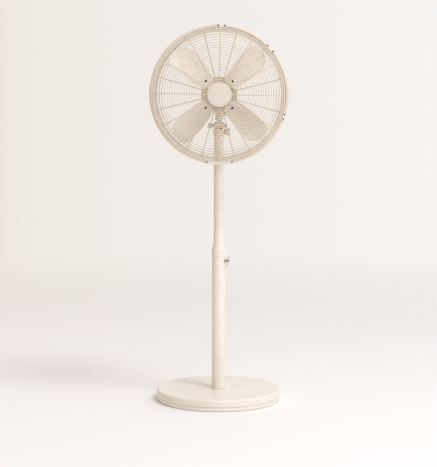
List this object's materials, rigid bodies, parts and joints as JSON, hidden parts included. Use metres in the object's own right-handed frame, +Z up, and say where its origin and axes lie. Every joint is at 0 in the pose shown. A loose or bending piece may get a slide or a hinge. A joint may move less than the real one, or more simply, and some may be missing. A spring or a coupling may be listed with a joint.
{
  "type": "pedestal fan",
  "caption": "Free-standing pedestal fan with a wire cage head on a two-part telescopic pole and a round weighted base; the head tilts and swings and the blades spin.",
  "frame": {"origin": "on the floor under the middle of the round base, on the axis of the pole", "axes": "+Z up along the pole, -Y the way the fan blows, +X to the right of a person facing the fan"},
  "size_m": [0.4493, 0.413, 1.2459],
  "materials": {
    "cream_paint": "satin cream enamel on steel and die castings",
    "wire_paint": "satin cream powder coat on steel wire",
    "blade_paint": "satin cream enamel on pressed sheet",
    "cream_plastic": "semi-gloss moulded plastic",
    "rubber": "matt rubber",
    "cast_iron": "rough casting",
    "zinc_steel": "zinc plated, dull",
    "lamination_steel": "stacked electrical steel",
    "copper_wire": "varnished copper",
    "bronze": "sintered bronze",
    "nylon": "moulded nylon",
    "dark_plastic": "moulded"
  },
  "bodies": {
    "base": {"base_cover": "cream_paint", "base_weight": "cast_iron", "base_tray": "cream_paint", "tray_screws": "zinc_steel", "foot_ring": "rubber", "pole_flange": "cream_paint", "pole_plug": "zinc_steel", "base_bolt": "zinc_steel", "lower_pole": "cream_paint", "height_collar": "cream_paint", "collar_bush": "nylon", "screw_insert": "zinc_steel"},
    "height_screw": {"height_screw": "zinc_steel"},
    "upper_pole": {"upper_pole": "cream_paint", "guide_bush": "nylon", "head_socket": "cream_paint", "tilt_nut": "zinc_steel"},
    "head_screw": {"head_screw": "cream_plastic"},
    "tilt_neck": {"tilt_neck": "cream_paint", "tilt_washers": "nylon"},
    "tilt_knob": {"tilt_knob": "cream_plastic", "tilt_bolt": "zinc_steel"},
    "head": {"motor_front_housing": "cream_paint", "motor_rear_housing": "cream_paint", "stator_core": "lamination_steel", "windings": "copper_wire", "shaft_bearings": "bronze", "swivel_pin": "zinc_steel", "gearbox_housing": "cream_paint", "gearbox_plate": "cream_paint", "rear_cap": "cream_paint", "cord_gland": "rubber", "speed_switch": "dark_plastic", "capacitor": "dark_plastic", "front_grille": "wire_paint", "front_grille_side_rings": "wire_paint", "rear_grille": "wire_paint", "rear_grille_side_rings": "wire_paint", "cage_rims": "wire_paint", "front_grille_spokes": "wire_paint", "rear_grille_spokes": "wire_paint", "head_screws": "zinc_steel", "hub_cap": "cream_paint", "rim_clips": "cream_paint", "clip_screws": "zinc_steel"},
    "fan": {"motor_shaft": "zinc_steel", "rotor_core": "lamination_steel", "blade_spider": "blade_paint", "blade_1": "blade_paint", "blade_2": "blade_paint", "blade_3": "blade_paint", "blade_4": "blade_paint", "blade_screws": "zinc_steel", "hub_nut": "cream_plastic"},
    "worm_wheel": {"worm_wheel": "nylon"},
    "crank": {"crank_gear": "nylon", "crank_disc": "zinc_steel"},
    "link_arm": {"link_arm": "zinc_steel"},
    "swing_knob": {"swing_knob": "cream_plastic"},
    "speed_knob": {"speed_knob": "cream_plastic"}
  },
  "joints": [
    {"name": "height_slide", "type": "slide", "parent": "base", "child": "upper_pole", "axis": [0, 0, 1], "range_m": [-0.14, 0.18]},
    {"name": "height_screw_turn", "type": "hinge", "parent": "base", "child": "height_screw", "pos_m": [0, 0, 0.469], "axis": [0.9397, -0.342, 0], "range_deg": [0, 540]},
    {"name": "head_screw_turn", "type": "hinge", "parent": "upper_pole", "child": "head_screw", "pos_m": [0, 0, 0.8984], "axis": [1, 0, 0], "range_deg": [0, 720]},
    {"name": "tilt", "type": "hinge", "parent": "upper_pole", "child": "tilt_neck", "pos_m": [0, 0, 0.918], "axis": [1, 0, 0], "range_deg": [-20, 15]},
    {"name": "tilt_knob_turn", "type": "hinge", "parent": "upper_pole", "child": "tilt_knob", "pos_m": [0, 0, 0.918], "axis": [-1, 0, 0], "range_deg": [0, 360]},
    {"name": "swing", "type": "hinge", "parent": "tilt_neck", "child": "head", "pos_m": [0, 0, 0.945], "axis": [0, 0, 1], "range_deg": [-40, 40]},
    {"name": "fan_spin", "type": "hinge", "parent": "head", "child": "fan", "pos_m": [0, 0, 1.02], "axis": [0, 1, 0], "continuous": true},
    {"name": "worm_wheel_spin", "type": "hinge", "parent": "head", "child": "worm_wheel", "pos_m": [-0.0176, 0.062, 1.02], "axis": [0, 0, 1], "continuous": true},
    {"name": "crank_spin", "type": "hinge", "parent": "head", "child": "crank", "pos_m": [0, 0.068, 0.975], "axis": [0, 0, 1], "continuous": true},
    {"name": "link_swing", "type": "hinge", "parent": "tilt_neck", "child": "link_arm", "pos_m": [0.022, 0.006, 0.961], "axis": [0, 0, 1], "range_deg": [-41, 41]},
    {"name": "swing_knob_pull", "type": "slide", "parent": "head", "child": "swing_knob", "axis": [0, 0, 1], "range_m": [0, 0.008]},
    {"name": "speed_knob_turn", "type": "hinge", "parent": "head", "child": "speed_knob", "pos_m": [0, 0.13, 1.024], "axis": [0, 1, 0], "range_deg": [0, 135]}
  ],
  "couplings": [
    {"joint": "worm_wheel_spin", "follows": "fan_spin", "ratio": 0.025},
    {"joint": "crank_spin", "follows": "fan_spin", "ratio": -0.0045455},
    {"joint": "link_swing", "follows": "swing", "ratio": 1}
  ]
}
